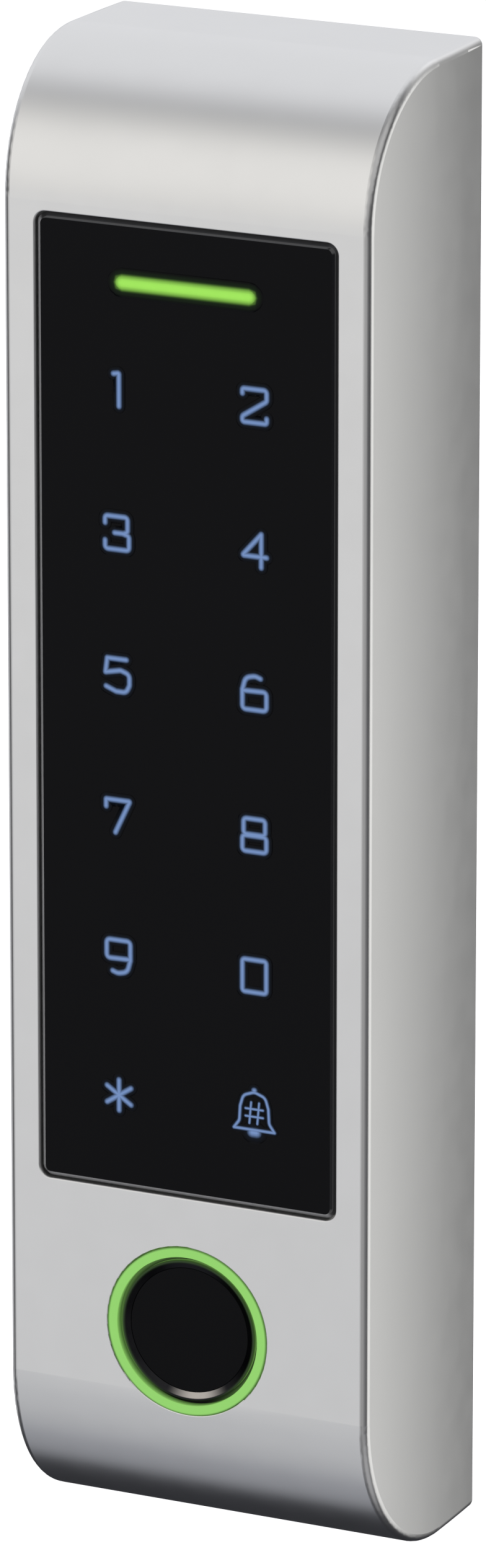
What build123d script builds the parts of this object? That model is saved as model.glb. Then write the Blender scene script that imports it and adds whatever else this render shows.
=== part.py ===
from build123d import *
import math
import os

# Fingerprint scanner terminal: a slim wall reader with a touch keypad and a round fingerprint sensor.
# Millimetres. X is to the right, Y runs back to the wall plane at Y = 0, Z is up.
# The origin is the centre of the back face, so the front face lies at Y = -depth.

# --- outer form of the housing ---
width = 37.0
height = 140.0
depth = 24.0
top_round = 13.5
bottom_round = 15.5
edge_round = 0.75
side_crown = 0.3
rear_round = 0.4
rim_gap = 0.6

# --- walls of the housing ---
wall = 2.2
side_wall = 2.0
front_wall = 3.2
inner_x = width / 2 - side_wall
front_y = -depth
front_inner_y = front_y + front_wall

# --- touch panel and the stack behind it ---
panel_width = 29.8
panel_height = 90.6
panel_z = 10.15
panel_corner = 1.0
panel_thick = 1.8
panel_sunk = 0.05
panel_gap = 0.15
panel_bevel = 0.45
recess_rim = 0.12
panel_back_y = front_y + panel_sunk + panel_thick
tape_thick = 0.25
lip = 1.5
film_thick = 0.3
light_frame_thick = 3.0
light_frame_back_y = panel_back_y + film_thick + light_frame_thick
touch_board_thick = 1.0
touch_board_back_y = light_frame_back_y + touch_board_thick
touch_board_low_z = -38.2
touch_board_high_z = 58.4
touch_board_half = 14.5
touch_screw_x = 11.0
touch_screw_zs = (56.2, -36.0)
coil_thick = 1.2

# --- key field and light bar ---
key_x = 6.86
key_top_z = 39.98
key_pitch = 13.26
key_rows = 6
key_cell = 8.0
bar_z = 49.83
bar_length = 13.76
bar_thick = 1.15

# --- fingerprint sensor ---
sensor_z = -48.12
ring_outer = 8.04
ring_inner = 7.15
ring_gap = 0.05
bezel_outer = 6.75
bezel_inner = 6.0
bezel_front_y = front_y + 0.3
bezel_slope = 0.55
bezel_dish = 0.25
bezel_edge = 0.06
window_y = bezel_front_y + bezel_dish
window_seat_y = bezel_front_y + 1.0
sensor_chip_back_y = window_seat_y + 0.7
holder_sunk = 0.5
sensor_flange = 9.3
sensor_board_y = -18.8
sensor_board_thick = 1.0
retainer_x = 11.6
retainer_thick = 1.0
ring_led_radius = 8.0
ring_led_count = 6

# --- rear cover and main board ---
cover_back_y = -4.2
cover_thick = 1.8
gasket_thick = 0.4
gasket_width = 0.7
ledge_y = cover_back_y - cover_thick - gasket_thick
cover_half = 16.3
cover_low_z = -57.6
cover_high_z = 60.8
ledge_width = 1.2
pillar_x = 14.6
pillar_radius = 2.1
pillar_zs = (57.6, 2.0, -53.6)
board_back_y = -9.6
board_thick = 1.6
board_front_y = board_back_y - board_thick
board_half = 12.2
board_low_z = -38.0
board_high_z = 18.0
board_screw_x = 9.8
board_screw_zs = (14.6, -34.6)

# --- wall plate, its hooks and its lock ---
plate_thick = 1.5
plate_half = 15.5
plate_low_z = -67.5
plate_high_z = 66.5
wall_screw_z = 50.0
wall_screw_radius = 2.1
cable_z = 34.0
cable_hole_width = 12.0
cable_hole_height = 16.0
pin_y = -3.0
pin_z = 66.0
pin_radius = 1.0
pin_play = 0.05
pin_half = 17.6
hook_x = 9.0
hook_width = 6.0
hook_thick = 1.2
lock_y = -5.0
tab_front_y = -8.0
tab_half = 6.0
tab_thick = 1.5
lock_radius = 1.45
lock_head_radius = 2.5
lock_head_low_z = -69.85
lock_head_high_z = -68.55
lock_top_z = -60.8

# --- cable grommet and tamper switch ---
grommet_bore = 3.2
grommet_neck = 5.0
grommet_lip = 6.4
tamper_x = 6.5
tamper_z = -14.0
plunger_radius = 1.25
plunger_collar = 1.7
plunger_base_y = -8.2
switch_front_y = -6.3
spring_end_y = -9.2


def block(x0, x1, y0, y1, z0, z1):
    """Box between two corners."""
    return Pos((x0 + x1) / 2, (y0 + y1) / 2, (z0 + z1) / 2) * Box(x1 - x0, y1 - y0, z1 - z0)


def rod(x, z, radius, y0, y1):
    """Round bar along Y."""
    return Pos(x, (y0 + y1) / 2, z) * Rot(90, 0, 0) * Cylinder(radius, y1 - y0)


def bar_x(y, z, radius, half):
    """Round bar along X, centred on X = 0."""
    return Pos(0, y, z) * Rot(0, 90, 0) * Cylinder(radius, 2 * half)


def sheet(wide, high, corner, y0, y1, z, x=0.0):
    """Flat plate facing along Y, with rounded corners."""
    facing = Plane(origin=(x, y1, z), x_dir=(1, 0, 0), z_dir=(0, -1, 0))
    return extrude(facing * RectangleRounded(wide, high, corner), y1 - y0)


def turned(*points):
    """Ring or disc turned about the sensor's axis, from (radius, y) points."""
    section = make_face(Polyline(*points, close=True))
    return Pos(0, 0, sensor_z) * revolve(section, Axis.Y)


def side_slab(y0, y1, z0, z1, low_round, high_round, half):
    """Slab with the reader's side outline: square at the wall, round at the front's two ends."""
    outline = Pos((y0 + y1) / 2, (z0 + z1) / 2) * Rectangle(y1 - y0, z1 - z0)
    outline = fillet(outline.vertices().group_by(Axis.X)[0].sort_by(Axis.Y)[0], low_round)
    outline = fillet(outline.vertices().sort_by(Axis.Y)[-2:].sort_by(Axis.X)[0], high_round)
    return extrude(Plane.YZ * outline, half, both=True)


def key_centres():
    """Centres of the touch keys as (x, z), row by row from the top."""
    return [(side * key_x, key_top_z - row * key_pitch) for row in range(key_rows) for side in (-1, 1)]


def pan_screw(x, z, head_y, head_radius, head_high, shank_radius, length, toward_wall):
    """Cross-head screw along Y whose head rests on the plane at head_y."""
    step = 1 if toward_wall else -1
    low, high = sorted((head_y, head_y - step * head_high))
    head = rod(x, z, head_radius, low, high)
    rim = head.faces().sort_by(Axis.Y)[0 if toward_wall else -1].edges()
    head = fillet(rim, head_high * 0.4)
    low, high = sorted((head_y, head_y + step * length))
    screw = head + rod(x, z, shank_radius, low, high)
    top_y = head_y - step * head_high
    cross_deep = head_high * 0.55
    low, high = sorted((top_y, top_y + step * cross_deep))
    for wide, high_z in ((head_radius * 1.1, 0.4), (0.4, head_radius * 1.1)):
        screw -= block(x - wide / 2, x + wide / 2, low, high, z - high_z / 2, z + high_z / 2)
    return screw


def crowned_bar():
    """Upright bar with the reader's width, whose two sides bulge a little at half depth."""
    edge_x = width / 2 - side_crown
    right = ThreePointArc((edge_x, front_y), (width / 2, front_y / 2), (edge_x, 0))
    left = ThreePointArc((-edge_x, 0), (-width / 2, front_y / 2), (-edge_x, front_y))
    section = make_face([right, Line(right @ 1, left @ 0), left, Line(left @ 1, right @ 0)])
    return extrude(section, height / 2 + 1, both=True)


def bounds_a_recess(edge):
    """True for the front edges of the panel's recess and the sensor's bore."""
    place = edge.center()
    flat_low = bottom_round - height / 2
    flat_high = height / 2 - top_round
    inside = abs(place.X) < panel_width / 2 + 1
    return inside and flat_low + 0.3 < place.Z < flat_high - 0.3


def housing():
    """Die-cast shell with its panel recess, sensor bore, pillars and rear pocket."""
    rim_y = -rim_gap
    half_z = height / 2
    shell = side_slab(front_y, rim_y, -half_z, half_z, bottom_round, top_round, width / 2) & crowned_bar()
    sides = shell.edges().filter_by(lambda edge: abs(edge.center().X) > width / 2 - 2 * side_crown)
    shell = fillet(sides.filter_by(lambda edge: edge.center().Y < rim_y - 0.01), edge_round)
    shell = fillet(shell.faces().sort_by(Axis.Y)[-1].edges(), rear_round)
    hollow_top = top_round - wall
    hollow_low = bottom_round - wall
    shell -= side_slab(front_y + wall, 1, -half_z + wall, half_z - wall, hollow_low, hollow_top, inner_x)
    pad_y = front_y + wall - 0.1
    shell += block(-inner_x, inner_x, pad_y, front_inner_y, -57, 57)
    shell += block(-inner_x, inner_x, -20.5, cover_back_y, cover_high_z + 0.2, cover_high_z + 1.7)
    shell += block(-inner_x, inner_x, -21.4, cover_back_y, cover_low_z - 1.7, cover_low_z - 0.2)
    ledge = block(-inner_x, inner_x, ledge_y - 1.6, ledge_y, cover_low_z - 0.2, cover_high_z + 0.2)
    ledge_x = inner_x - ledge_width
    ledge -= block(-ledge_x, ledge_x, -12, 0, cover_low_z + 1, cover_high_z - 1)
    shell += ledge
    for side in (-1, 1):
        for z in pillar_zs:
            shell += rod(side * pillar_x, z, pillar_radius, -16.0, ledge_y)
            shell -= rod(side * pillar_x, z, 0.95, -14.0, ledge_y)
        for z in touch_screw_zs:
            shell += rod(side * touch_screw_x, z, 1.7, front_inner_y - 0.1, light_frame_back_y)
            shell -= rod(side * touch_screw_x, z, 0.75, front_inner_y - 0.6, light_frame_back_y)
        board_seat_y = sensor_board_y + sensor_board_thick
        shell += rod(side * retainer_x, sensor_z, 1.9, front_inner_y - 0.1, board_seat_y)
        shell -= rod(side * retainer_x, sensor_z, 0.85, front_inner_y - 0.6, board_seat_y)
    recess_y = panel_back_y + tape_thick
    recess_wide = panel_width + 2 * panel_gap
    recess_high = panel_height + 2 * panel_gap
    recess_corner = panel_corner + panel_gap
    shell -= sheet(recess_wide, recess_high, recess_corner, front_y - 1, recess_y, panel_z)
    shell -= sheet(panel_width - 2 * lip, panel_height - 2 * lip, 1.0, front_y, -20, panel_z)
    shell -= rod(0, sensor_z, ring_outer + ring_gap, front_y - 1, -20)
    front_edges = shell.edges().filter_by(lambda edge: abs(edge.center().Y - front_y) < 0.01)
    shell = fillet(front_edges.filter_by(bounds_a_recess), recess_rim)
    shell -= bar_x(pin_y, pin_z, pin_radius, pin_half)
    # the lock screw's head sits in a pocket, and its shank in a slot; both are open towards the wall
    for radius, low, high in ((lock_radius + 0.25, -69, -67), (lock_head_radius + 0.4, -71, -68.5)):
        shell -= Pos(0, lock_y, (low + high) / 2) * Cylinder(radius, high - low)
        shell -= block(-radius, radius, lock_y, 1, low, high)
    return shell


def touch_panel():
    """Black glass cover of the keypad, with a fine bevel round its face."""
    panel = sheet(panel_width, panel_height, panel_corner, front_y + panel_sunk, panel_back_y, panel_z)
    return chamfer(panel.faces().sort_by(Axis.Y)[0].edges(), panel_bevel)


def panel_tape():
    """Adhesive frame that holds the glass in its recess."""
    frame = sheet(panel_width, panel_height, panel_corner, panel_back_y, panel_back_y + tape_thick, panel_z)
    inner_wide = panel_width - 2 * lip
    inner_high = panel_height - 2 * lip
    return frame - sheet(inner_wide, inner_high, 1.0, front_y, -20, panel_z)


def legend_film():
    """Printed film behind the glass that carries the key legends."""
    back = panel_back_y + film_thick
    return sheet(panel_width - 2 * lip - 0.6, panel_height - 2 * lip - 0.6, 0.7, panel_back_y, back, panel_z)


def light_frame():
    """White frame with one light cell for each key and one for the light bar."""
    front = panel_back_y + film_thick
    frame = sheet(panel_width - 2 * lip - 0.6, panel_height - 2 * lip - 0.6, 0.7, front, light_frame_back_y, panel_z)
    for x, z in key_centres():
        frame -= sheet(key_cell, key_cell, 1.2, front - 1, light_frame_back_y + 1, z, x)
    frame -= sheet(bar_length + 0.2, bar_thick + 0.2, 0.6, front - 1, light_frame_back_y + 1, bar_z)
    return frame


def bar_light_guide():
    """Clear strip that carries the light bar's light to the film."""
    front = panel_back_y + film_thick
    return sheet(bar_length, bar_thick, bar_thick / 2 - 0.01, front, light_frame_back_y - 0.9, bar_z)


def touch_board():
    """Circuit board with the touch pads, behind the light frame."""
    wide = 2 * touch_board_half
    high = touch_board_high_z - touch_board_low_z
    middle = (touch_board_high_z + touch_board_low_z) / 2
    board = sheet(wide, high, 1.0, light_frame_back_y, touch_board_back_y, middle)
    for side in (-1, 1):
        for z in touch_screw_zs:
            board -= rod(side * touch_screw_x, z, 0.9, -20, -16)
    return board


def key_leds():
    """One small light behind each key."""
    front = light_frame_back_y - 0.6
    return [block(x - 0.8, x + 0.8, front, light_frame_back_y, z - 0.4, z + 0.4) for x, z in key_centres()]


def bar_leds():
    """Lights under the light bar's strip."""
    front = light_frame_back_y - 0.6
    return [block(x - 0.8, x + 0.8, front, light_frame_back_y, bar_z - 0.4, bar_z + 0.4) for x in (-4.6, 0, 4.6)]


def touch_chip():
    """Touch controller on the back of its board."""
    return block(-11.0, -5.0, touch_board_back_y, touch_board_back_y + 0.9, 46.6, 52.6)


def touch_screws():
    """Screws that hold the touch board."""
    places = [(side * touch_screw_x, z) for side in (-1, 1) for z in touch_screw_zs]
    return [pan_screw(x, z, touch_board_back_y, 1.4, 0.9, 0.7, 2.6, False) for x, z in places]


def card_coil():
    """Flat antenna winding for cards."""
    back = touch_board_back_y + coil_thick
    coil = sheet(25.6, 60.0, 3.0, touch_board_back_y, back, 11.0)
    return coil - sheet(21.6, 56.0, 1.5, touch_board_back_y - 1, back + 1, 11.0)


def ring_light():
    """Clear ring round the sensor, with a flange that holds it behind the front wall."""
    groove_low = sensor_flange - 1.0
    groove_high = sensor_flange - 0.1
    return turned(
        (ring_inner, front_y), (ring_outer, front_y), (ring_outer, front_inner_y),
        (groove_low, front_inner_y), (groove_low, front_inner_y + 0.75),
        (groove_high, front_inner_y + 0.75), (groove_high, front_inner_y),
        (sensor_flange, front_inner_y), (sensor_flange, front_inner_y + 1.0),
        (ring_inner, front_inner_y + 1.0),
    )


def sensor_seal():
    """O-ring between the ring light's flange and the front wall."""
    middle = sensor_flange - 0.55
    path = Pos(0, front_inner_y + 0.375, sensor_z) * Rot(90, 0, 0)
    return path * Torus(middle, 0.37)


def sensor_bezel():
    """Dark metal ring round the sensor's window, dished towards it like a shallow funnel."""
    base_y = front_inner_y + 1.0
    return turned(
        (bezel_inner, window_y), (bezel_inner + bezel_slope, bezel_front_y),
        (bezel_outer - bezel_edge, bezel_front_y), (bezel_outer, bezel_front_y + bezel_edge),
        (bezel_outer, base_y), (bezel_inner - 0.8, base_y),
        (bezel_inner - 0.8, window_seat_y), (bezel_inner, window_seat_y),
    )


def sensor_window():
    """Black disc that the finger rests on."""
    disc = rod(0, sensor_z, bezel_inner - 0.02, window_y, window_seat_y)
    return chamfer(disc.faces().sort_by(Axis.Y)[0].edges(), 0.05)


def sensor_chip():
    """Square sensing chip under the window."""
    return block(-3.4, 3.4, window_seat_y, sensor_chip_back_y, sensor_z - 3.4, sensor_z + 3.4)


def sensor_holder():
    """Black cup that carries the bezel, with one light hole for each ring light."""
    floor_y = bezel_front_y + holder_sunk
    base_y = front_inner_y + 1.0
    holder = turned(
        (bezel_outer, floor_y), (ring_inner - 0.03, floor_y), (ring_inner - 0.03, base_y),
        (sensor_flange, base_y), (sensor_flange, sensor_board_y), (3.6, sensor_board_y),
        (3.6, base_y), (bezel_outer, base_y),
    )
    for x, z in ring_led_centres():
        holder -= rod(x, z, 1.15, base_y - 0.01, sensor_board_y + 0.01)
    return holder


def ring_led_centres():
    """Centres of the ring's lights as (x, z)."""
    turns = [math.radians(360 / ring_led_count * (count + 0.5)) for count in range(ring_led_count)]
    return [(ring_led_radius * math.cos(a), sensor_z + ring_led_radius * math.sin(a)) for a in turns]


def ring_leds():
    """Lights under the ring."""
    front = sensor_board_y - 0.6
    return [block(x - 0.8, x + 0.8, front, sensor_board_y, z - 0.5, z + 0.5) for x, z in ring_led_centres()]


def sensor_board():
    """Round circuit board at the back of the sensor."""
    return rod(0, sensor_z, sensor_flange, sensor_board_y, sensor_board_y + sensor_board_thick)


def sensor_retainer():
    """Steel strap that clamps the sensor into the housing."""
    front = sensor_board_y + sensor_board_thick
    strap = sheet(2 * retainer_x + 4.4, 5.0, 2.0, front, front + retainer_thick, sensor_z)
    for side in (-1, 1):
        strap -= rod(side * retainer_x, sensor_z, 1.0, -20, -15)
    return strap


def retainer_screws():
    """Screws of the sensor's strap."""
    head_y = sensor_board_y + sensor_board_thick + retainer_thick
    return [pan_screw(side * retainer_x, sensor_z, head_y, 1.8, 1.2, 0.8, 3.8, False) for side in (-1, 1)]


def sensor_ribbon():
    """Flat cable from the sensor's board up to the main board."""
    start_y = sensor_board_y + sensor_board_thick + 0.15
    end_y = board_front_y - 1.65
    route = FilletPolyline((start_y, -43.6), (start_y, -40.4), (end_y, -36.4), (end_y, -31.2), radius=1.4)
    return extrude(Plane.YZ * trace(route, 0.3), 3.0, both=True)


def ribbon_socket():
    """Socket on the main board for the sensor's ribbon."""
    return block(-4.4, 4.4, board_front_y - 1.5, board_front_y, -33.4, -29.2)


def main_board():
    """Main circuit board."""
    middle = (board_high_z + board_low_z) / 2
    board = sheet(2 * board_half, board_high_z - board_low_z, 1.0, board_front_y, board_back_y, middle)
    for side in (-1, 1):
        for z in board_screw_zs:
            board -= rod(side * board_screw_x, z, 1.1, -13, -8)
    return board


def processor():
    """Main processor."""
    return block(-4.5, 4.5, board_front_y - 1.2, board_front_y, -25.6, -16.6)


def memory_chip():
    """Memory that keeps the users and fingerprints."""
    return block(6.6, 11.4, board_front_y - 1.2, board_front_y, -24.2, -18.2)


def relay():
    """Slim relay that switches the door lock."""
    case = block(-11.4, -1.4, board_front_y - 5.0, board_front_y, -12.6, 2.4)
    return fillet(case.edges().filter_by(Axis.Y), 0.5)


def buzzer():
    """Round sounder with its sound hole."""
    can = rod(6.0, -4.4, 4.6, board_front_y - 4.6, board_front_y)
    can = fillet(can.faces().sort_by(Axis.Y)[0].edges(), 0.4)
    return can - rod(6.0, -4.4, 0.9, board_front_y - 5, board_front_y - 3.6)


def capacitor():
    """Supply capacitor on its square foot."""
    can = rod(-8.6, -21.0, 2.5, board_front_y - 5.0, board_front_y)
    return can + block(-11.3, -5.9, board_front_y - 0.9, board_front_y, -23.7, -18.3)


def board_link():
    """Plug and socket between the two boards."""
    body = block(-5.4, 5.4, touch_board_back_y, board_front_y, 4.6, 7.4)
    return body - block(-4.6, 4.6, -15.4, -14.6, 4.0, 5.4)


def cable_socket():
    """Socket for the wall cable's wires, with its row of contact slots."""
    socket = block(-8.0, 8.0, board_front_y - 4.6, board_front_y, 11.0, 17.6)
    for count in range(6):
        x = -6.25 + 2.5 * count
        socket -= block(x - 0.7, x + 0.7, board_front_y - 3.8, board_front_y - 1.4, 13.6, 18.0)
    return socket


def board_screws():
    """Screws that hold the main board to the rear cover's posts."""
    places = [(side * board_screw_x, z) for side in (-1, 1) for z in board_screw_zs]
    return [pan_screw(x, z, board_front_y, 1.7, 1.1, 0.9, 4.4, True) for x, z in places]


def rear_cover():
    """Back cover with posts for the main board and holes for cable and tamper plunger."""
    front = cover_back_y - cover_thick
    middle = (cover_high_z + cover_low_z) / 2
    cover = sheet(2 * cover_half, cover_high_z - cover_low_z, 1.5, front, cover_back_y, middle)
    for side in (-1, 1):
        for z in board_screw_zs:
            cover += rod(side * board_screw_x, z, 2.0, board_back_y, front + 0.1)
            cover -= rod(side * board_screw_x, z, 0.95, board_back_y - 0.1, board_back_y + 3.4)
        for z in pillar_zs:
            cover -= rod(side * pillar_x, z, 1.0, -8, 0)
            cover -= countersink(side * pillar_x, z, 0.05)
    cover -= rod(0, cable_z, grommet_neck, -8, 0)
    return cover - rod(tamper_x, tamper_z, plunger_radius + 0.05, -8, 0)


def countersink(x, z, play):
    """Cone of a flat-head cover screw, with its top on the rear cover's back face."""
    cone = Pos(x, cover_back_y - 0.45, z) * Rot(-90, 0, 0) * Cone(0.9 + play, 1.8 + play, 0.9)
    return cone


def cover_screws():
    """Flat-head screws that hold the rear cover to the housing's pillars."""
    screws = []
    for side in (-1, 1):
        for z in pillar_zs:
            x = side * pillar_x
            screw = countersink(x, z, 0.0) + rod(x, z, 0.9, cover_back_y - 8.0, cover_back_y - 0.9)
            screw -= block(x - 0.9, x + 0.9, cover_back_y - 0.5, cover_back_y, z - 0.18, z + 0.18)
            screw -= block(x - 0.18, x + 0.18, cover_back_y - 0.5, cover_back_y, z - 0.9, z + 0.9)
            screws.append(screw)
    return screws


def rear_gasket():
    """Silicone seal between the rear cover and the housing's ledge."""
    middle = (cover_high_z + cover_low_z) / 2
    high = cover_high_z - cover_low_z
    seal = sheet(2 * cover_half, high, 1.5, ledge_y, ledge_y + gasket_thick, middle)
    inner_half = cover_half - gasket_width
    return seal - sheet(2 * inner_half, high - 2 * gasket_width, 0.8, ledge_y - 1, 0, middle)


def cable_grommet():
    """Rubber grommet in the rear cover, through which the wall cable runs."""
    front = cover_back_y - cover_thick
    grommet = rod(0, cable_z, grommet_neck, front, cover_back_y)
    grommet += rod(0, cable_z, grommet_lip, front - 1.0, front)
    grommet += rod(0, cable_z, grommet_lip, cover_back_y, cover_back_y + 1.2)
    grommet = fillet(grommet.faces().sort_by(Axis.Y)[-1].edges(), 0.5)
    return grommet - rod(0, cable_z, grommet_bore, -10, 0)


def tamper_switch():
    """Switch body on the main board's back, bored for the plunger and its spring."""
    x0, x1 = tamper_x - 2.6, tamper_x + 2.6
    body = block(x0, x1, board_back_y, switch_front_y, tamper_z - 2.6, tamper_z + 2.6)
    body -= rod(tamper_x, tamper_z, plunger_collar + 0.05, spring_end_y, switch_front_y - 0.6)
    return body - rod(tamper_x, tamper_z, plunger_radius + 0.05, spring_end_y, 0)


def tamper_spring():
    """Spring behind the plunger, shown pressed together as it is on the wall."""
    wire = 0.11
    turns = 3
    length = plunger_base_y - spring_end_y - 2 * wire - 0.02
    coil = Helix(pitch=length / turns, height=length, radius=1.2)
    section = Plane(coil @ 0, z_dir=coil % 0) * Circle(wire)
    return Pos(tamper_x, plunger_base_y - wire - 0.01, tamper_z) * Rot(90, 0, 0) * sweep(section, coil)


def tamper_plunger():
    """Plunger that the wall plate presses in, with the collar that keeps it in its switch."""
    pin = rod(tamper_x, tamper_z, plunger_radius, plunger_base_y, -plate_thick)
    pin = fillet(pin.faces().sort_by(Axis.Y)[-1].edges(), 0.4)
    return pin + rod(tamper_x, tamper_z, plunger_collar, plunger_base_y, plunger_base_y + 0.3)


def hanger_pin():
    """Steel pin across the housing's top, which hangs in the wall plate's hooks."""
    return bar_x(pin_y, pin_z, pin_radius, pin_half)


def wall_plate():
    """Bent steel plate with two hooks at the top and a threaded tab at the bottom."""
    middle = (plate_high_z + plate_low_z) / 2
    plate = sheet(2 * plate_half, plate_high_z - plate_low_z, 2.0, -plate_thick, 0, middle)
    plate += block(-tab_half, tab_half, tab_front_y, 0, plate_low_z, plate_low_z + tab_thick)
    plate -= Pos(0, lock_y, plate_low_z) * Cylinder(lock_radius + 0.05, 6)
    plate -= sheet(cable_hole_width, cable_hole_height, 3.0, -3, 1, cable_z)
    for z in (wall_screw_z, -wall_screw_z):
        plate -= rod(0, z, wall_screw_radius, -3, 1)
    inner = pin_radius + pin_play
    outer = inner + hook_thick
    half = hook_width / 2
    hook = bar_x(pin_y, pin_z, outer, half) - block(-half, half, -9, 1, pin_z, pin_z + 9)
    hook += block(-half, half, pin_y - outer, pin_y + outer, pin_z, plate_high_z)
    hook -= bar_x(pin_y, pin_z, inner, half)
    hook -= block(-half, half, pin_y - inner, pin_y + inner, pin_z, pin_z + 2)
    for side in (-1, 1):
        plate += Pos(side * hook_x, 0, 0) * hook
    return plate


def lock_screw():
    """Security screw that pulls the reader's lower wall against the plate's tab."""
    head_high = lock_head_high_z - lock_head_low_z
    head = Pos(0, lock_y, (lock_head_high_z + lock_head_low_z) / 2) * Cylinder(lock_head_radius, head_high)
    head = fillet(head.faces().sort_by(Axis.Z)[0].edges(), 0.4)
    length = lock_top_z - lock_head_high_z
    shank = Pos(0, lock_y, lock_head_high_z + length / 2) * Cylinder(lock_radius, length)
    shank = chamfer(shank.faces().sort_by(Axis.Z)[-1].edges(), 0.35)
    socket = Plane(origin=(0, lock_y, lock_head_low_z)) * RegularPolygon(1.1, 6)
    return head + shank - extrude(socket, 0.9)


def node(name, shape):
    """Write one sub-part, or a group of separate like solids, to its own file."""
    if isinstance(shape, list):
        shape = Compound(children=shape)
    export_step(shape, os.path.join("parts", name + ".step"))


os.makedirs("parts", exist_ok=True)
makers = (
    housing, touch_panel, panel_tape, legend_film, light_frame, bar_light_guide, touch_board, key_leds,
    bar_leds, touch_chip, touch_screws, card_coil, ring_light, sensor_seal, sensor_bezel, sensor_window,
    sensor_chip, sensor_holder, ring_leds, sensor_board, sensor_retainer, retainer_screws, sensor_ribbon,
    ribbon_socket, main_board, processor, memory_chip, relay, buzzer, capacitor, board_link, cable_socket,
    board_screws, rear_cover, rear_gasket, cover_screws, cable_grommet, tamper_switch, tamper_spring,
    tamper_plunger, hanger_pin, wall_plate, lock_screw,
)
for maker in makers:
    node(maker.__name__, maker())
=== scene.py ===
import math

import bmesh
import bpy
from mathutils import Matrix, Vector


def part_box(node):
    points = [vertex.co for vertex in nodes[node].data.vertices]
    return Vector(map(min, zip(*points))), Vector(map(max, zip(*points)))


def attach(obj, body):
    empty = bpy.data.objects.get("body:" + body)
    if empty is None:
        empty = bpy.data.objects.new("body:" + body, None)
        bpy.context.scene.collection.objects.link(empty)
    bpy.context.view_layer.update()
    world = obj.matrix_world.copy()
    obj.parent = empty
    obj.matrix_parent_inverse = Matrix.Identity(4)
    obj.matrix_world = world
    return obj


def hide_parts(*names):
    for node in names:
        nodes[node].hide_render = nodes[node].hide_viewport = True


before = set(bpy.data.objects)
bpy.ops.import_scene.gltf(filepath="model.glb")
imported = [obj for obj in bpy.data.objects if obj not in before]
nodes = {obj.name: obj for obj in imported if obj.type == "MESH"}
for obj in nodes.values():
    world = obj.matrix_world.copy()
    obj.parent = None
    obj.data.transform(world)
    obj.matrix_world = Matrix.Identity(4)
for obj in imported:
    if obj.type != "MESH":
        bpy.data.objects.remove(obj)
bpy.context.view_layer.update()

# Looks of the fingerprint scanner terminal. Metres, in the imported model's frame: X right, Y back, Z up.
MM = 0.001

# --- camera ---
camera_azimuth = math.radians(26.11)
camera_elevation = math.radians(16.43)
camera_distance = 0.921
camera_aside = -0.00541
camera_lift = -0.00212
camera_lens = 229.3

# --- light colours on the front ---
legend_blue = (0.195, 0.310, 0.590)
legend_faint = (0.004, 0.010, 0.022)
bar_green = (0.366, 0.823, 0.112)
bar_faint = (0.014, 0.045, 0.006)
ring_green = (0.250, 0.550, 0.125)
off = (0.0, 0.0, 0.0)

# --- legends, in millimetres from their key's centre ---
legend_wide = 1.20
legend_high = 1.53
corner_steps = 6
key_rows = 6

# --- black faces of the glass and the finger window ---
glass_black = (0.0028, 0.0028, 0.0034)
glass_specular = 0.06


def placed(name, data):
    """New object with that data, in the scene."""
    thing = bpy.data.objects.new(name, data)
    bpy.context.scene.collection.objects.link(thing)
    return thing


# ---------------------------------------------------------------- materials

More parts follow.
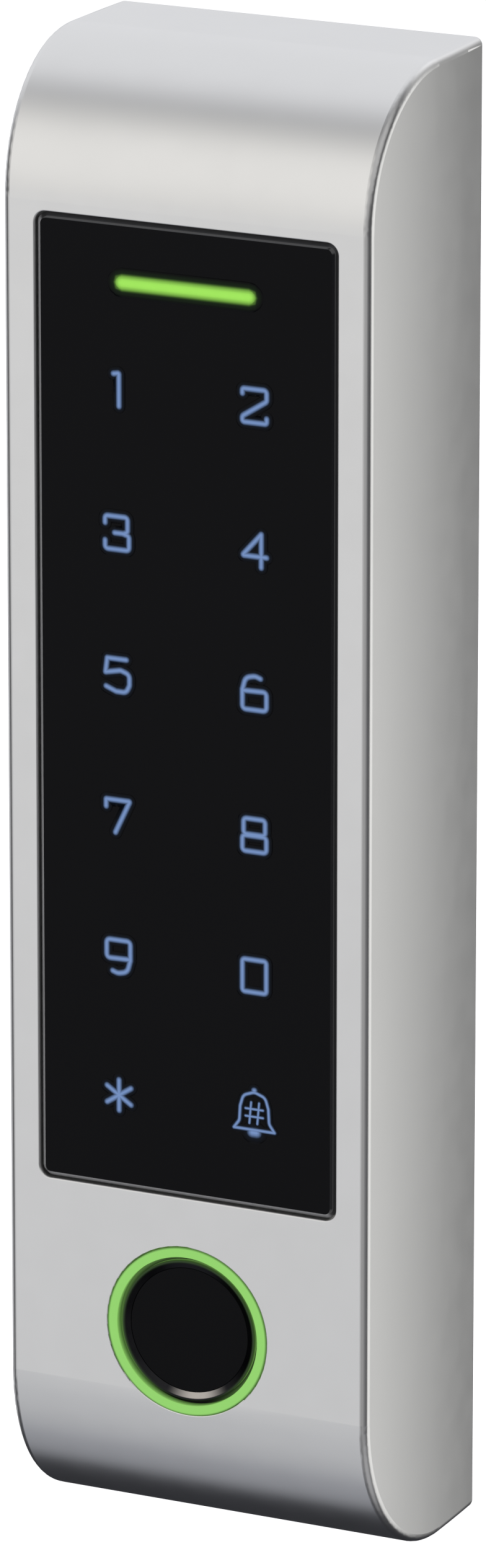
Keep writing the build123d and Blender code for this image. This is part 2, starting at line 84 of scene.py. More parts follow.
class Surface:
    """A Principled material: fixed values on the shader's own sockets, then procedural detail."""

    def __init__(self, name, colour, roughness, metallic=0.0, **fixed):
        self.material = bpy.data.materials.new(name)
        self.material.use_nodes = True
        self.tree = self.material.node_tree
        self.shader = self.tree.nodes["Principled BSDF"]
        self.shader.inputs["Base Color"].default_value = (*colour, 1)
        self.shader.inputs["Roughness"].default_value = roughness
        self.shader.inputs["Metallic"].default_value = metallic
        for socket, value in fixed.items():
            self.shader.inputs[socket.replace("_", " ")].default_value = value
        self.place = self.add("ShaderNodeTexCoord").outputs["Object"]

    def add(self, kind, inputs=None, **settings):
        """New node, with its inputs set or linked."""
        node = self.tree.nodes.new(kind)
        for key, value in settings.items():
            setattr(node, key, value)
        for socket, value in (inputs or {}).items():
            if isinstance(value, bpy.types.NodeSocket):
                self.tree.links.new(value, node.inputs[socket])
            else:
                node.inputs[socket].default_value = value
        return node

    def to_shader(self, output, socket):
        self.tree.links.new(output, self.shader.inputs[socket])

    def noise(self, size, detail=2.0, stretch=(1, 1, 1)):
        """Noise from 0 to 1 with features of about that size, in metres."""
        scaled = self.add("ShaderNodeMapping", {"Vector": self.place, "Scale": stretch})
        inputs = {"Vector": scaled.outputs[0], "Scale": 1 / size, "Detail": detail}
        return self.add("ShaderNodeTexNoise", inputs).outputs[0]

    def cells(self, size):
        """Distance from 0 to about 1 within cells of about that size, in metres."""
        inputs = {"Vector": self.place, "Scale": 1 / size}
        return self.add("ShaderNodeTexVoronoi", inputs).outputs["Distance"]

    def spread(self, value, low, high, to_low=0.0, to_high=1.0, smooth=True):
        """Value mapped from low..high to to_low..to_high, and held at the ends."""
        inputs = {"Value": value, "From Min": low, "From Max": high, "To Min": to_low, "To Max": to_high}
        kind = "SMOOTHSTEP" if smooth else "LINEAR"
        return self.add("ShaderNodeMapRange", inputs, interpolation_type=kind).outputs[0]

    def reckon(self, operation, *values):
        """Result of one operation on the values."""
        return self.add("ShaderNodeMath", dict(enumerate(values)), operation=operation).outputs[0]

    def blend(self, amount, first, second):
        """Colour that goes from first to second."""
        mixer = self.add("ShaderNodeMix", data_type="RGBA")
        self.tree.links.new(amount, mixer.inputs[0])
        for index, colour in ((6, first), (7, second)):
            if isinstance(colour, bpy.types.NodeSocket):
                self.tree.links.new(colour, mixer.inputs[index])
            else:
                mixer.inputs[index].default_value = (*colour, 1)
        return mixer.outputs[2]

    def tint(self, amount, first, second):
        """Base colour that goes from first to second."""
        self.to_shader(self.blend(amount, first, second), "Base Color")

    def polish(self, amount, first, second):
        """Roughness that goes from first to second."""
        self.to_shader(self.spread(amount, 0, 1, first, second, smooth=False), "Roughness")

    def bump(self, height, depth):
        """Relief of that depth in metres. Later calls add to earlier ones."""
        node = self.add("ShaderNodeBump", {"Height": height, "Distance": depth, "Strength": 1.0})
        before = self.shader.inputs["Normal"]
        if before.is_linked:
            self.tree.links.new(before.links[0].from_socket, node.inputs["Normal"])
        self.to_shader(node.outputs[0], "Normal")

    def glow(self, colour):
        """Light given off in that colour, as bright as the colour says."""
        self.to_shader(colour, "Emission Color")
        self.shader.inputs["Emission Strength"].default_value = 1.0

    def axis_value(self, axis):
        """One coordinate of the surface point."""
        return self.add("ShaderNodeSeparateXYZ", {"Vector": self.place}).outputs[axis]


def satin_zinc():
    """Satin nickel on die-cast zinc: fine sandblasted grain, soft clouding and a few specks."""
    surface = Surface("satin_nickel", (0.78, 0.775, 0.76), 0.30, metallic=1.0)
    clouds = surface.noise(22 * MM, detail=3)
    specks = surface.spread(surface.cells(10 * MM), 0.003, 0.008, 1, 0)
    clouded = surface.blend(clouds, (0.755, 0.752, 0.740), (0.805, 0.801, 0.791))
    surface.tint(specks, clouded, (0.99, 0.99, 0.99))
    grain = surface.noise(0.16 * MM, detail=3)
    surface.polish(surface.noise(3 * MM, detail=6), 0.265, 0.325)
    surface.bump(grain, 0.0016 * MM)
    surface.bump(specks, 0.05 * MM)
    return surface.material


def black_glass():
    """Polished black glass with the faintest haze from handling.

    Its bevel is painted lighter, most of all at the left and below, as a painted reflection of the bright
    recess wall."""
    surface = Surface("black_glass", glass_black, 0.05, Specular_IOR_Level=glass_specular,
                      Coat_Roughness=0.12, Coat_IOR=1.9)
    facing = surface.add("ShaderNodeTexCoord").outputs["Normal"]
    parts = surface.add("ShaderNodeSeparateXYZ", {"Vector": facing})
    bevel = surface.spread(parts.outputs["Y"], -0.95, -0.85)
    # Painted reflection: the bevel's colour is made lighter where it faces left and down, standing in for
    # the bright recess wall mirrored there.
    left = surface.spread(parts.outputs["X"], -0.70, -0.40, 1, 0)
    low = surface.spread(parts.outputs["Z"], -0.70, -0.40, 0.7, 0)
    painted_reflection_side = surface.reckon("MAXIMUM", left, low)
    bevel_colour_and_painted_reflection = surface.blend(painted_reflection_side, (0.008, 0.008, 0.009), (0.32, 0.32, 0.33))
    surface.to_shader(bevel, "Coat Weight")
    surface.polish(surface.noise(6 * MM, detail=5), 0.035, 0.075)
    face = surface.blend(surface.noise(14 * MM), glass_black, (0.0034, 0.0034, 0.0042))
    surface.tint(bevel, face, bevel_colour_and_painted_reflection)
    surface.bump(surface.noise(9 * MM), 0.0008 * MM)
    return surface.material


def lit_ring():
    """Lit ring: green, a little uneven over its lights, darker at its outer edge and down its inner wall."""
    rim_share, deepest_share, falloff = 0.45, 0.12, 0.55
    surface = Surface("lit_ring", (0.03, 0.09, 0.02), 0.32, Specular_IOR_Level=0.25)
    radius = radius_from(surface, sensor_middle())
    lit = surface.blend(surface.noise(2.5 * MM), ring_green, [part * 1.05 for part in ring_green])
    rim = surface.spread(radius, 7.88 * MM, 8.04 * MM)
    lit = surface.blend(rim, lit, [part * rim_share for part in ring_green])
    face_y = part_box("ring_light")[0].y
    deep = surface.spread(surface.axis_value("Y"), face_y + 0.02 * MM, face_y + 0.85 * MM, smooth=False)
    deep = surface.reckon("POWER", deep, falloff)
    surface.glow(surface.blend(deep, lit, [part * deepest_share for part in ring_green]))
    surface.bump(surface.noise(0.4 * MM), 0.001 * MM)
    return surface.material


def sensor_middle():
    """Centre of the finger window."""
    low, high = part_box("sensor_window")
    return (low + high) / 2


def lit_guide():
    """Frosted strip behind the glass."""
    surface = Surface("lit_guide", (0.4, 0.7, 0.3), 0.4)
    surface.glow(surface.blend(surface.noise(3 * MM), bar_green, [part * 0.9 for part in bar_green]))
    surface.bump(surface.noise(0.3 * MM), 0.002 * MM)
    return surface.material


def radius_from(surface, centre):
    """Distance of the surface point from an axis along Y through centre."""
    place = surface.add("ShaderNodeMapping", {"Vector": surface.place, "Location": -Vector(centre)})
    flat = surface.add("ShaderNodeVectorMath", operation="MULTIPLY")
    surface.tree.links.new(place.outputs[0], flat.inputs[0])
    flat.inputs[1].default_value = (1, 0, 1)
    length = surface.add("ShaderNodeVectorMath", operation="LENGTH")
    surface.tree.links.new(flat.outputs[0], length.inputs[0])
    return length.outputs["Value"]


def angle_from_low(surface, offset=0.0):
    """Angle of 0 to 180 degrees round the sensor, from its lowest point turned by offset towards +X."""
    place = surface.add("ShaderNodeMapping", {"Vector": surface.place, "Location": -sensor_middle()})
    parts = surface.add("ShaderNodeSeparateXYZ", {"Vector": place.outputs[0]})
    down = surface.reckon("SUBTRACT", 0.0, parts.outputs["Z"])
    turn = surface.reckon("ARCTAN2", parts.outputs["X"], down)
    turn = surface.reckon("SUBTRACT", turn, math.radians(offset))
    turn = surface.reckon("ABSOLUTE", turn)
    return surface.reckon("DEGREES", turn)


def paint_ring_glow(surface, near_ring, strength):
    """The ring's green light painted as glow on the black parts inside it, with their lowest part left dark
    as painted shade.
    """
    # Painted shade: the painted glow fades out towards the lowest part.
    shaded = surface.spread(angle_from_low(surface), 12, 62)
    amount = surface.reckon("MULTIPLY", near_ring, shaded)
    surface.glow(surface.blend(amount, off, [part * strength for part in ring_green]))


def sensor_cup():
    """Black cup round the sensor, whose floor has the ring's light painted on as glow."""
    surface = Surface("sensor_cup", (0.006, 0.006, 0.007), 0.45, Specular_IOR_Level=0.1)
    # Painted glow: the ring's light painted on the cup's floor, strongest next to the ring.
    near_ring = surface.spread(radius_from(surface, sensor_middle()), 6.62 * MM, 7.16 * MM)
    paint_ring_glow(surface, near_ring, 0.30)
    surface.bump(surface.noise(0.2 * MM), 0.003 * MM)
    return surface.material


def dark_chrome():
    """Black coated ring with a painted highlight, a bright crescent on its lower slope in place of a
    reflection, and the ring's green light painted on as glow.
    """
    surface = Surface("black_chrome", (0.02, 0.02, 0.02), 0.2, metallic=1.0)
    radius = radius_from(surface, sensor_middle())
    # Painted highlight: a bright crescent painted into the base colour of the lower slope, in place of a
    # reflection there.
    painted_crescent = surface.spread(angle_from_low(surface, 9.0), 4, 30, 1, 0)
    slope = surface.spread(radius, 6.49 * MM, 6.57 * MM, 1, 0)
    painted_crescent = surface.reckon("MULTIPLY", painted_crescent, slope)
    coat = surface.blend(surface.noise(1.2 * MM, detail=4), (0.014, 0.014, 0.016), (0.024, 0.024, 0.026))
    surface.tint(painted_crescent, coat, (0.44, 0.41, 0.385))
    surface.polish(surface.noise(0.5 * MM, detail=4), 0.16, 0.26)
    surface.bump(surface.noise(0.1 * MM, detail=3), 0.0006 * MM)
    # Painted glow: the ring's green light painted on the bezel's rim and wall, stronger deeper in and nearer
    # the ring.
    rim_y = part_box("sensor_bezel")[0].y
    deep = surface.spread(surface.axis_value("Y"), rim_y, rim_y + 0.5 * MM, 0.25, 1)
    near_ring = surface.spread(radius, 6.40 * MM, 6.76 * MM)
    near_ring = surface.reckon("MULTIPLY", near_ring, deep)
    paint_ring_glow(surface, near_ring, 0.42)
    return surface.material


def sensor_black():
    """Polished coating of the finger window, with light smears from fingers."""
    surface = Surface("sensor_coating", glass_black, 0.06, Specular_IOR_Level=glass_specular)
    smear = surface.noise(3.5 * MM, detail=6, stretch=(1.0, 1.0, 0.5))
    surface.polish(smear, 0.04, 0.11)
    surface.bump(surface.noise(0.35 * MM, detail=2), 0.0004 * MM)
    return surface.material


def moulded(name, colour, roughness, grain=0.22, depth=0.004, **fixed):
    """Moulded plastic with a spark-eroded grain."""
    surface = Surface(name, colour, roughness, **fixed)
    darker = [part * 0.86 for part in colour]
    surface.tint(surface.noise(6 * MM, detail=4), darker, colour)
    surface.polish(surface.noise(1.5 * MM, detail=5), roughness - 0.06, roughness + 0.06)
    surface.bump(surface.noise(grain * MM, detail=3), depth * MM)
    return surface.material


def rubber(name, colour):
    """Silicone or foam: matt, dusty and slightly pitted."""
    surface = Surface(name, colour, 0.82, Sheen_Weight=0.25, Sheen_Roughness=0.5, Specular_IOR_Level=0.3)
    surface.tint(surface.noise(2 * MM, detail=6), colour, [part * 1.5 for part in colour])
    surface.bump(surface.noise(0.18 * MM, detail=4), 0.012 * MM)
    return surface.material


def plated(name, colour, roughness, brushed=(1, 1, 1), spangle=0.0):
    """Plated or turned steel. Spangle is the size in millimetres of a galvanised coat's crystals."""
    surface = Surface(name, colour, roughness, metallic=1.0)
    lighter = [min(1.0, part * 1.12) for part in colour]
    if spangle:
        crystals = surface.add("ShaderNodeTexVoronoi", {"Vector": surface.place, "Scale": 1000 / spangle})
        shade = surface.add("ShaderNodeSeparateColor", {"Color": crystals.outputs["Color"]}).outputs[0]
    else:
        shade = surface.noise(0.5 * MM, detail=5, stretch=brushed)
    surface.tint(shade, colour, lighter)
    surface.polish(shade, roughness - 0.06, roughness + 0.08)
    surface.bump(surface.noise(0.2 * MM, detail=4, stretch=brushed), 0.002 * MM)
    return surface.material


def circuit_board(name):
    """Green solder mask over a hatch of copper tracks, with tinned vias."""
    mask, track, tin = (0.012, 0.085, 0.035), (0.030, 0.150, 0.060), (0.70, 0.70, 0.66)
    surface = Surface(name, mask, 0.38, Coat_Weight=0.35, Coat_Roughness=0.15)
    waves = surface.add("ShaderNodeTexWave", {"Vector": surface.place, "Scale": 260.0, "Distortion": 2.5,
                                              "Detail": 1.0, "Detail Scale": 0.6}, bands_direction="Z")
    tracks = surface.spread(waves.outputs["Fac"], 0.60, 0.68)
    vias = surface.spread(surface.cells(2.6 * MM), 0.10, 0.13, 1, 0)
    surface.tint(vias, surface.blend(tracks, mask, track), tin)
    surface.bump(tracks, 0.03 * MM)
    surface.bump(vias, 0.04 * MM)
    return surface.material


def chip_case():
    """Moulded chip package with a laser-matted top."""
    surface = Surface("chip_case", (0.022, 0.022, 0.024), 0.62)
    surface.tint(surface.noise(0.3 * MM, detail=6), (0.016, 0.016, 0.018), (0.034, 0.034, 0.036))
    surface.bump(surface.noise(0.08 * MM, detail=3), 0.004 * MM)
    return surface.material


def led_lens():
    """Clear resin over a yellow phosphor."""
    surface = Surface("led_lens", (0.86, 0.80, 0.42), 0.18, Coat_Weight=0.6, Coat_Roughness=0.05)
    surface.tint(surface.noise(0.5 * MM), (0.90, 0.86, 0.66), (0.82, 0.68, 0.20))
    surface.bump(surface.noise(0.3 * MM), 0.004 * MM)
    return surface.material


def winding():
    """Enamelled copper wires side by side."""
    surface = Surface("copper_winding", (0.72, 0.30, 0.14), 0.28, metallic=1.0, Coat_Weight=0.5)
    surface.tint(surface.noise(0.6 * MM, detail=4), (0.62, 0.25, 0.11), (0.80, 0.37, 0.18))
    surface.bump(surface.noise(0.12 * MM, detail=2, stretch=(1, 0.1, 1)), 0.01 * MM)
    return surface.material


def ribbon_film():
    """Amber film with fine conductors under it, running up the ribbon."""
    surface = Surface("ribbon_film", (0.55, 0.24, 0.03), 0.30, Coat_Weight=0.4, Coat_Roughness=0.2)
    waves = surface.add("ShaderNodeTexWave", {"Vector": surface.place, "Scale": 330.0}, bands_direction="X")
    lines = surface.spread(waves.outputs["Fac"], 0.45, 0.6)
    surface.tint(lines, (0.42, 0.16, 0.02), (0.66, 0.33, 0.06))
    surface.bump(lines, 0.01 * MM)
    return surface.material


def printed_film():
    """Black print on the film behind the glass."""
    surface = Surface("printed_film", (0.010, 0.010, 0.013), 0.35)
    surface.tint(surface.noise(4 * MM, detail=4), (0.008, 0.008, 0.010), (0.016, 0.016, 0.020))
    surface.bump(surface.noise(0.25 * MM), 0.002 * MM)
    return surface.material


def lit_print(name, face_y, rise, radius, bright, faint, full, zero, reach):
    """Light shining through the glass, which fades with the distance from the middle of its stroke.

    A stroke is a flat lens, so its height gives that distance. Lengths are in millimetres but for face_y."""
    surface = Surface(name, glass_black, 0.05, Specular_IOR_Level=glass_specular)
    height = surface.spread(surface.axis_value("Y"), face_y, face_y - rise * MM, smooth=False)
    square = surface.reckon("MULTIPLY", height, height)
    rest = surface.reckon("SUBTRACT", 1.0, square)
    share = surface.reckon("SQRT", rest)
    uneven = surface.blend(surface.noise(0.9 * MM), bright, [part * 0.94 for part in bright])
    halo = surface.blend(surface.spread(share, 0.0, reach / radius, 1, 0), off, faint)
    surface.glow(surface.blend(surface.spread(share, full / radius, zero / radius, 1, 0), halo, uneven))
    return surface.material


def paint(material, *names):
    """Give the material to these CAD nodes."""
    for name in names:
        for slot in nodes[name].material_slots:
            slot.material = material


def paint_frame():
    """Materials of all CAD nodes."""
    steel = plated("zinc_plated_screws", (0.58, 0.58, 0.59), 0.30)
    rubber_black = rubber("silicone", (0.018, 0.018, 0.019))
    black_plastic = moulded("black_moulding", (0.022, 0.022, 0.024), 0.50)
    white_plastic = moulded("white_moulding", (0.80, 0.80, 0.77), 0.45)
    cream_plastic = moulded("cream_moulding", (0.74, 0.68, 0.52), 0.42)
    stainless = plated("turned_stainless", (0.62, 0.61, 0.59), 0.24, brushed=(0.1, 1, 1))
    paint(satin_zinc(), "housing")
    paint(black_glass(), "touch_panel")
    paint(rubber("foam_tape", (0.012, 0.012, 0.012)), "panel_tape")
    paint(printed_film(), "legend_film")
    paint(white_plastic, "light_frame", "tamper_plunger")
    paint(lit_guide(), "bar_light_guide")
    paint(lit_ring(), "ring_light")
    paint(circuit_board("solder_mask"), "touch_board", "sensor_board", "main_board")
    paint(led_lens(), "key_leds", "bar_leds", "ring_leds")
    paint(chip_case(), "touch_chip", "sensor_chip", "processor", "memory_chip")
    paint(steel, "touch_screws", "retainer_screws", "board_screws", "cover_screws")
    paint(winding(), "card_coil")
    paint(rubber_black, "sensor_seal", "rear_gasket", "cable_grommet")
    paint(dark_chrome(), "sensor_bezel")
    paint(sensor_black(), "sensor_window")
    paint(sensor_cup(), "sensor_holder")
    paint(black_plastic, "buzzer", "rear_cover", "tamper_switch")
    paint(plated("galvanised_sheet", (0.60, 0.61, 0.62), 0.36, spangle=2.2), "sensor_retainer", "wall_plate")
    paint(ribbon_film(), "sensor_ribbon")
    paint(cream_plastic, "ribbon_socket", "board_link", "cable_socket")
    paint(moulded("relay_case", (0.02, 0.05, 0.16), 0.28, Coat_Weight=0.3), "relay")
    paint(plated("drawn_can", (0.72, 0.72, 0.73), 0.26), "capacitor")
    paint(stainless, "tamper_spring", "hanger_pin", "lock_screw")
    return stainless


# ---------------------------------------------------------------- lit legends

def rounded(points, radius, closed=False):
    """Polyline whose corners are arcs of that radius, or as large as the runs beside them allow."""
    count = len(points)
    path = []
    for index, corner in enumerate(points):
        if not closed and index in (0, count - 1):
            path.append(Vector(corner))
            continue
        here = Vector(corner)
        to_last = Vector(points[index - 1]) - here
        to_next = Vector(points[(index + 1) % count]) - here
        turn = to_last.angle(to_next)
        reach = min(radius / math.tan(turn / 2), 0.49 * min(to_last.length, to_next.length))
        start = here + to_last.normalized() * reach
        end = here + to_next.normalized() * reach
        for step in range(corner_steps + 1):
            part = step / corner_steps
            path.append(start * (1 - part) ** 2 + here * (2 * part * (1 - part)) + end * part ** 2)
    return path


def legend_strokes():
    """Strokes of each legend, key by key: (points, corner radius, share of the full stroke, closed)."""
    w, h = legend_wide, legend_high
    upper = [(-0.9 * w, 0.06), (-0.9 * w, h), (0.9 * w, h), (0.9 * w, 0.06)]
    lower = [(-w, -0.06), (-w, -h), (w, -h), (w, -0.06)]
    box = [(-w, -h), (w, -h), (w, h), (-w, h)]
    six = [([(0.50 * w, 0.94 * h), (0.06 * w, 1.06 * h), (-0.74 * w, 0.92 * h), (-w, 0.16 * h),
             (-w, -0.2 * h)], 0.90, 1, False),
           ([(-w, 0.2 * h), (-w, -h), (w, -h), (w, 0.16 * h), (-w, 0.12 * h)], 0.42, 1, False)]
    arm = 1.45
    arms = [math.radians(angle) for angle in (90, 33, -33)]
    star = [((arm * math.cos(a), arm * math.sin(a)), (-arm * math.cos(a), -arm * math.sin(a))) for a in arms]
    bell_side = [(2.05, -1.35), (1.50, -0.60), (1.42, 0.80), (1.10, 1.85), (0.0, 2.25)]
    bell = [(-u, v) for u, v in bell_side] + [(u, v) for u, v in reversed(bell_side[:-1])]
    hash_lines = [[(u - 0.09, -0.75), (u + 0.09, 1.25)] for u in (-0.40, 0.40)]
    hash_lines += [[(-0.88, v), (0.88, v)] for v in (-0.10, 0.62)]
    return {
        "1": [([(-0.30, 0.94 * h), (0.24, h), (0.24, -h)], 0.12, 1, False)],
        "2": [([(-w, 0.70 * h), (-w, h), (w, h), (w, 0.34 * h), (-w, -0.66 * h), (-w, -h), (w, -h),
                (w, -0.70 * h)], 0.36, 1, False)],
        "3": [([(-w, 0.56 * h), (-w, h), (0.88 * w, h), (0.88 * w, 0.16), (0.55 * w, 0), (-0.2 * w, 0)],
               0.35, 1, False),
              ([(0.45 * w, 0), (w, -0.18), (w, -h), (-w, -h), (-w, -0.5 * h)], 0.35, 1, False)],
        "4": [([(0.56 * w, h), (-w, -0.36 * h), (w, -0.36 * h)], 0.10, 1, False),
              ([(0.56 * w, h), (0.56 * w, -h)], 0, 1, False)],
        "5": [([(0.74 * w, h), (-0.86 * w, h), (-w, 0.14 * h)], 0.04, 1, False),
              ([(-w, 0.12 * h), (0.25 * w, 0.32 * h), (w, 0.12 * h), (w, -0.55 * h), (0.72 * w, -h),
                (-0.12 * w, -0.99 * h), (-0.96 * w, -0.74 * h)], 0.60, 1, False)],
        "6": six,
        "7": [([(-w, 0.55 * h), (-w, h), (w, h), (-0.22 * w, -h)], 0.08, 1, False)],
        "8": [(upper, 0.38, 1, True), (lower, 0.38, 1, True)],
        "9": [([(-u, -v) for u, v in points], *rest) for points, *rest in six],
        "0": [(box, 0.32, 1, True)],
        "star": [(line, 0, 1, False) for line in star],
        "bell": [(bell, 0.75, 0.62, False), ([(-2.05, -1.35), (2.05, -1.35)], 0, 0.62, False),
                 ([(-0.03, 2.42), (0.03, 2.42)], 0, 0.95, False),
                 ([(-0.25, -1.62), (0.25, -1.62)], 0, 1.6, False)]
        + [(line, 0, 0.48, False) for line in hash_lines],
    }


def stroke_mesh(points, corner, closed, radius):
    """Tube along one stroke in the plane Y = 0, with round ends, in millimetres."""
    path = rounded(points, corner, closed)
    places = [(point, 1.0) for point in path]
    if not closed:
        first = (path[0] - path[1]).normalized()
        last = (path[-1] - path[-2]).normalized()
        turns = [math.radians(angle) for angle in (25, 50, 70, 84)]
        caps = [(radius * math.sin(turn), math.cos(turn)) for turn in turns]
        places = [(path[0] + first * out, size) for out, size in reversed(caps)] + places
        places += [(path[-1] + last * out, size) for out, size in caps]
    curve = bpy.data.curves.new("stroke", "CURVE")
    curve.dimensions = "3D"
    curve.bevel_depth = radius
    curve.bevel_resolution = 5
    curve.use_fill_caps = True
    spline = curve.splines.new("POLY")
    spline.points.add(len(places) - 1)
    spline.use_cyclic_u = closed
    for point, (place, size) in zip(spline.points, places):
        point.co = (place[0], 0, place[1], 1)
        point.radius = size
    tube = placed("stroke", curve)
    mesh = bpy.data.meshes.new_from_object(tube.evaluated_get(bpy.context.evaluated_depsgraph_get()))
    bpy.data.objects.remove(tube)
    return mesh


def lit_strokes(name, strokes, centre, face_y, radius, rise, material):
    """Flat lens-shaped strokes on the plane at face_y, radius wide to each side and rise high (both mm)."""
    work = bmesh.new()
    for points, corner, share, closed in strokes:
        done = len(work.verts)
        work.from_mesh(stroke_mesh(points, corner, closed, radius * share))
        for vertex in list(work.verts)[done:]:
            vertex.co.y *= rise / (radius * share)
    mesh = bpy.data.meshes.new(name)
    work.to_mesh(mesh)
    work.free()
    mesh.transform(Matrix.Translation((centre.x, face_y, centre.z)) @ Matrix.Scale(MM, 4))
    mesh.polygons.foreach_set("use_smooth", [True] * len(mesh.polygons))
    mesh.materials.clear()
    mesh.materials.append(material)
    piece = placed(name, mesh)
    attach(piece, "unit")


def key_centres():
    """Centres of the keys, row by row from the top, from the lights behind them."""
    low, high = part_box("key_leds")
    half_wide, half_high = 0.8 * MM, 0.4 * MM
    left, right = low.x + half_wide, high.x - half_wide
    top, bottom = high.z - half_high, low.z + half_high
    pitch = (top - bottom) / (key_rows - 1)
    return [Vector((x, 0, top - row * pitch)) for row in range(key_rows) for x in (left, right)]


def lit_front():
    """The keys' legends and the light bar, with the faint light round them in the glass."""
    face_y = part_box("touch_panel")[0].y
    core_rise, halo_rise = 0.044, 0.018
    core_wide, halo_wide = 0.34, 0.66
    fade = (legend_blue, legend_faint, 0.0, 0.37, halo_wide)
    core = lit_print("legend_light", face_y, core_rise, core_wide, *fade)
    halo = lit_print("legend_halo", face_y, halo_rise, halo_wide, *fade)
    for (name, strokes), centre in zip(legend_strokes().items(), key_centres()):
        lit_strokes("legend_" + name, strokes, centre, face_y, core_wide, core_rise, core)
        lit_strokes("halo_" + name, strokes, centre, face_y, halo_wide, halo_rise, halo)
    low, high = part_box("bar_light_guide")
    half_long = (high.x - low.x) / 2 / MM
    half_thick = (high.z - low.z) / 2 / MM
    reach = half_long - half_thick
    line = [([(-reach, 0), (reach, 0)], 0, 1, False)]
    centre = (low + high) / 2
    core_wide, halo_wide = half_thick * 1.15, half_thick * 2.5
    fade = (bar_green, bar_faint, 0.15, 0.97, halo_wide)
    core = lit_print("bar_light", face_y, core_rise, core_wide, *fade)
    halo = lit_print("bar_halo", face_y, halo_rise, halo_wide, *fade)
    lit_strokes("bar_light", line, centre, face_y, core_wide, core_rise, core)
    lit_strokes("bar_halo", line, centre, face_y, halo_wide, halo_rise, halo)


# ---------------------------------------------------------------- lock screw

def ring_mesh(name, centre, rings, sides, material):
    """Closed surface through rings of (z, radius at an angle), about a vertical axis."""
    work = bmesh.new()
    loops = []
    for z, radius_at in rings:
        angles = [2 * math.pi * side / sides for side in range(sides)]
        loop = []
        for angle in angles:
            out = radius_at(angle)
            place = (centre.x + out * math.cos(angle), centre.y + out * math.sin(angle), z)
            loop.append(work.verts.new(place))
        loops.append(loop)
    for below, above in zip(loops, loops[1:]):
        for side in range(sides):
            after = (side + 1) % sides
            work.faces.new((below[side], below[after], above[after], above[side]))
    work.faces.new(list(reversed(loops[0])))
    work.faces.new(loops[-1])
    bmesh.ops.recalc_face_normals(work, faces=work.faces)
    mesh = bpy.data.meshes.new(name)
    work.to_mesh(mesh)
    work.free()
    mesh.materials.append(material)
    return placed(name, mesh)


def threaded_lock_screw(material):
    """The lock screw with its thread cut in and a chamfered hex socket."""
    low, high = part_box("lock_screw")
    centre = (low + high) / 2
    head = (high.x - low.x) / 2
    head_high, edge = 1.3 * MM, 0.4 * MM
    shank, root, pitch = 1.45 * MM, 1.16 * MM, 0.7 * MM
    socket_flat, socket_deep, socket_chamfer, socket_mouth = 0.953 * MM, 0.9 * MM, 0.10 * MM, 1.24 * MM
    edge_steps, steps_per_turn = 6, 12

    def round_at(radius):
        return lambda angle: radius

    def hex_at(angle):
        return socket_flat / math.cos((angle + math.pi / 6) % (math.pi / 3) - math.pi / 6)

    def thread_at(z):
        def radius_at(angle):
            phase = (z / pitch - angle / (2 * math.pi)) % 1
            crest = min(1.0, max(0.0, 2.6 * abs(phase - 0.5) - 0.15))
            return root + (shank - root) * crest
        return radius_at

    rings = [(low.z + socket_deep, round_at(0.02 * MM)), (low.z + socket_deep, hex_at)]
    rings += [(low.z + socket_chamfer, hex_at), (low.z, round_at(socket_mouth))]
    rings += [(low.z, round_at(head - edge))]
    for step in range(1, edge_steps + 1):
        turn = math.pi / 2 * step / edge_steps
        rings.append((low.z + edge * (1 - math.cos(turn)), round_at(head - edge + edge * math.sin(turn))))
    top = low.z + head_high
    rings += [(top, round_at(head)), (top, round_at(root)), (top + 0.3 * MM, round_at(root))]
    z = top + 0.35 * MM
    while z < high.z - 0.40 * MM:
        rings.append((z, thread_at(z)))
        z += pitch / steps_per_turn
    rings += [(high.z - 0.30 * MM, round_at(root)), (high.z, round_at(root - 0.25 * MM))]
    piece = ring_mesh("lock_screw_threaded", centre, rings, 60, material)
    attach(piece, "lock_screw")
    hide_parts("lock_screw")


# ---------------------------------------------------------------- studio

# azimuth and elevation in degrees (0 is +X, 90 is +Y), full and faded half-widths, colour
soft_lights = (
    (-117, 20, 9, 47, (0.98, 0.97, 0.95)),
    (-120, -33, 10, 32, (0.585, 0.595, 0.62)),
    (-152, -64, 4, 21, (0.34, 0.35, 0.385)),
    (-72, -4, 6, 32, (0.42, 0.42, 0.42)),
    (-38, 40, 10, 44, (0.55, 0.55, 0.55)),
    (-38, -48, 8, 36, (0.42, 0.42, 0.43)),
    (16, -12, 6, 24, (0.18, 0.18, 0.18)),
    (34, -17, 20, 35, (0.93, 0.93, 0.915)),
    (56, 26, 8, 36, (0.48, 0.48, 0.48)),
    (130, 44, 26, 70, (0.85, 0.86, 0.89)),
    (165, -14, 8, 26, (0.60, 0.61, 0.63)),
)
studio_dark = (0.028, 0.029, 0.034)


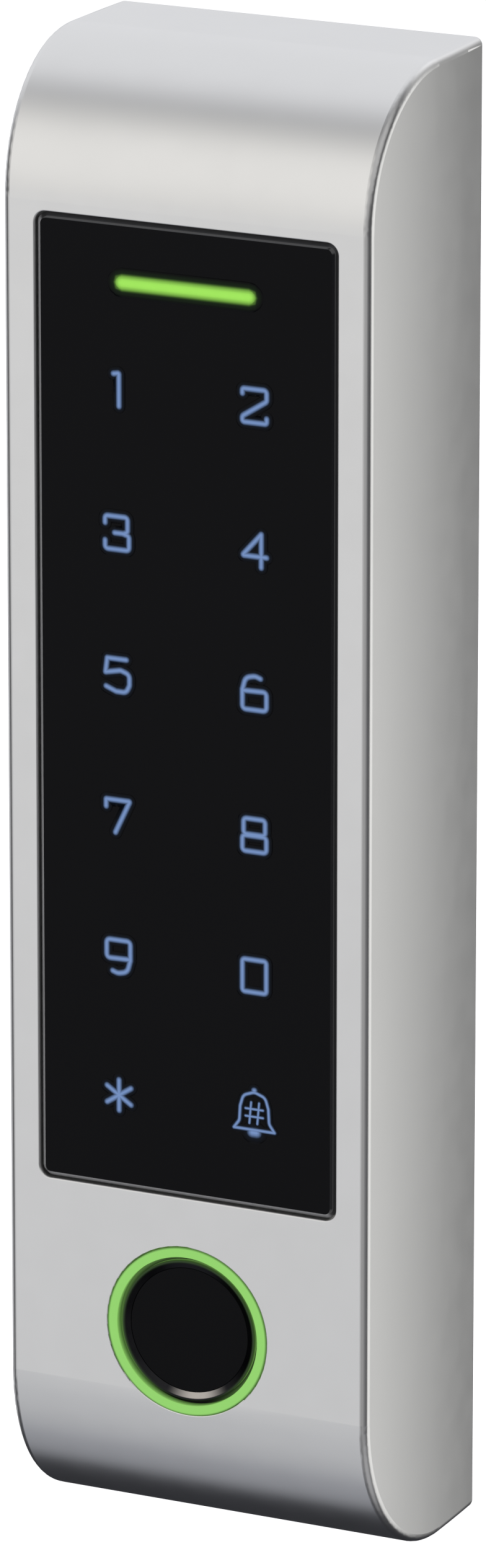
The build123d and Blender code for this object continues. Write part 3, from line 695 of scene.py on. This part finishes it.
def studio_world():
    """Dark soft room with broad soft lights round the object."""
    world = bpy.data.worlds.new("studio")
    world.use_nodes = True
    tree = world.node_tree
    background = tree.nodes["Background"]
    direction = tree.nodes.new("ShaderNodeTexCoord").outputs["Generated"]
    total = None
    for azimuth, elevation, full, faded, colour in soft_lights:
        a, e = math.radians(azimuth), math.radians(elevation)
        facing = tree.nodes.new("ShaderNodeVectorMath")
        facing.operation = "DOT_PRODUCT"
        tree.links.new(direction, facing.inputs[0])
        facing.inputs[1].default_value = (math.cos(a) * math.cos(e), math.sin(a) * math.cos(e), math.sin(e))
        fade = tree.nodes.new("ShaderNodeMapRange")
        fade.interpolation_type = "SMOOTHSTEP"
        tree.links.new(facing.outputs["Value"], fade.inputs["Value"])
        fade.inputs["From Min"].default_value = math.cos(math.radians(faded))
        fade.inputs["From Max"].default_value = math.cos(math.radians(full))
        lamp = tree.nodes.new("ShaderNodeVectorMath")
        lamp.operation = "MULTIPLY_ADD"
        lamp.inputs[0].default_value = colour
        tree.links.new(fade.outputs[0], lamp.inputs[1])
        if total is None:
            lamp.inputs[2].default_value = studio_dark
        else:
            tree.links.new(total, lamp.inputs[2])
        total = lamp.outputs[0]
    tree.links.new(total, background.inputs["Color"])
    bpy.context.scene.world = world


def pale_floor():
    """Plain pale floor, well below the reader, which hangs as on its wall."""
    half, drop, own_glow = 6.0, -0.45, 0.62
    mesh = bpy.data.meshes.new("floor")
    corners = [(-half, -half, drop), (half, -half, drop), (half, half, drop), (-half, half, drop)]
    mesh.from_pydata(corners, [], [(0, 1, 2, 3)])
    floor = placed("floor", mesh)
    surface = Surface("pale_floor", (0.92, 0.92, 0.92), 0.9, Specular_IOR_Level=0.1)
    surface.shader.inputs["Emission Color"].default_value = (1, 1, 1, 1)
    surface.shader.inputs["Emission Strength"].default_value = own_glow
    mesh.materials.append(surface.material)
    floor.visible_glossy = False


def product_camera():
    """Camera in front, to the right and a little above."""
    data = bpy.data.cameras.new("camera")
    data.lens = camera_lens
    data.sensor_width = 36
    data.clip_start = 0.05
    data.clip_end = 30
    camera = placed("camera", data)
    flat = math.cos(camera_elevation)
    aside = math.sin(camera_azimuth) * flat
    ahead = -math.cos(camera_azimuth) * flat
    back = Vector((aside, ahead, math.sin(camera_elevation)))
    right = Vector((math.cos(camera_azimuth), math.sin(camera_azimuth), 0))
    up = back.cross(right)
    turn = Matrix((right, up, back)).transposed().to_4x4()
    place = right * camera_aside + up * camera_lift + back * camera_distance
    camera.matrix_world = Matrix.Translation(place) @ turn
    bpy.context.scene.camera = camera


product_camera()
studio_world()
pale_floor()
bpy.context.scene.view_settings.view_transform = "Standard"
stainless_steel = paint_frame()
lit_front()
threaded_lock_screw(stainless_steel)
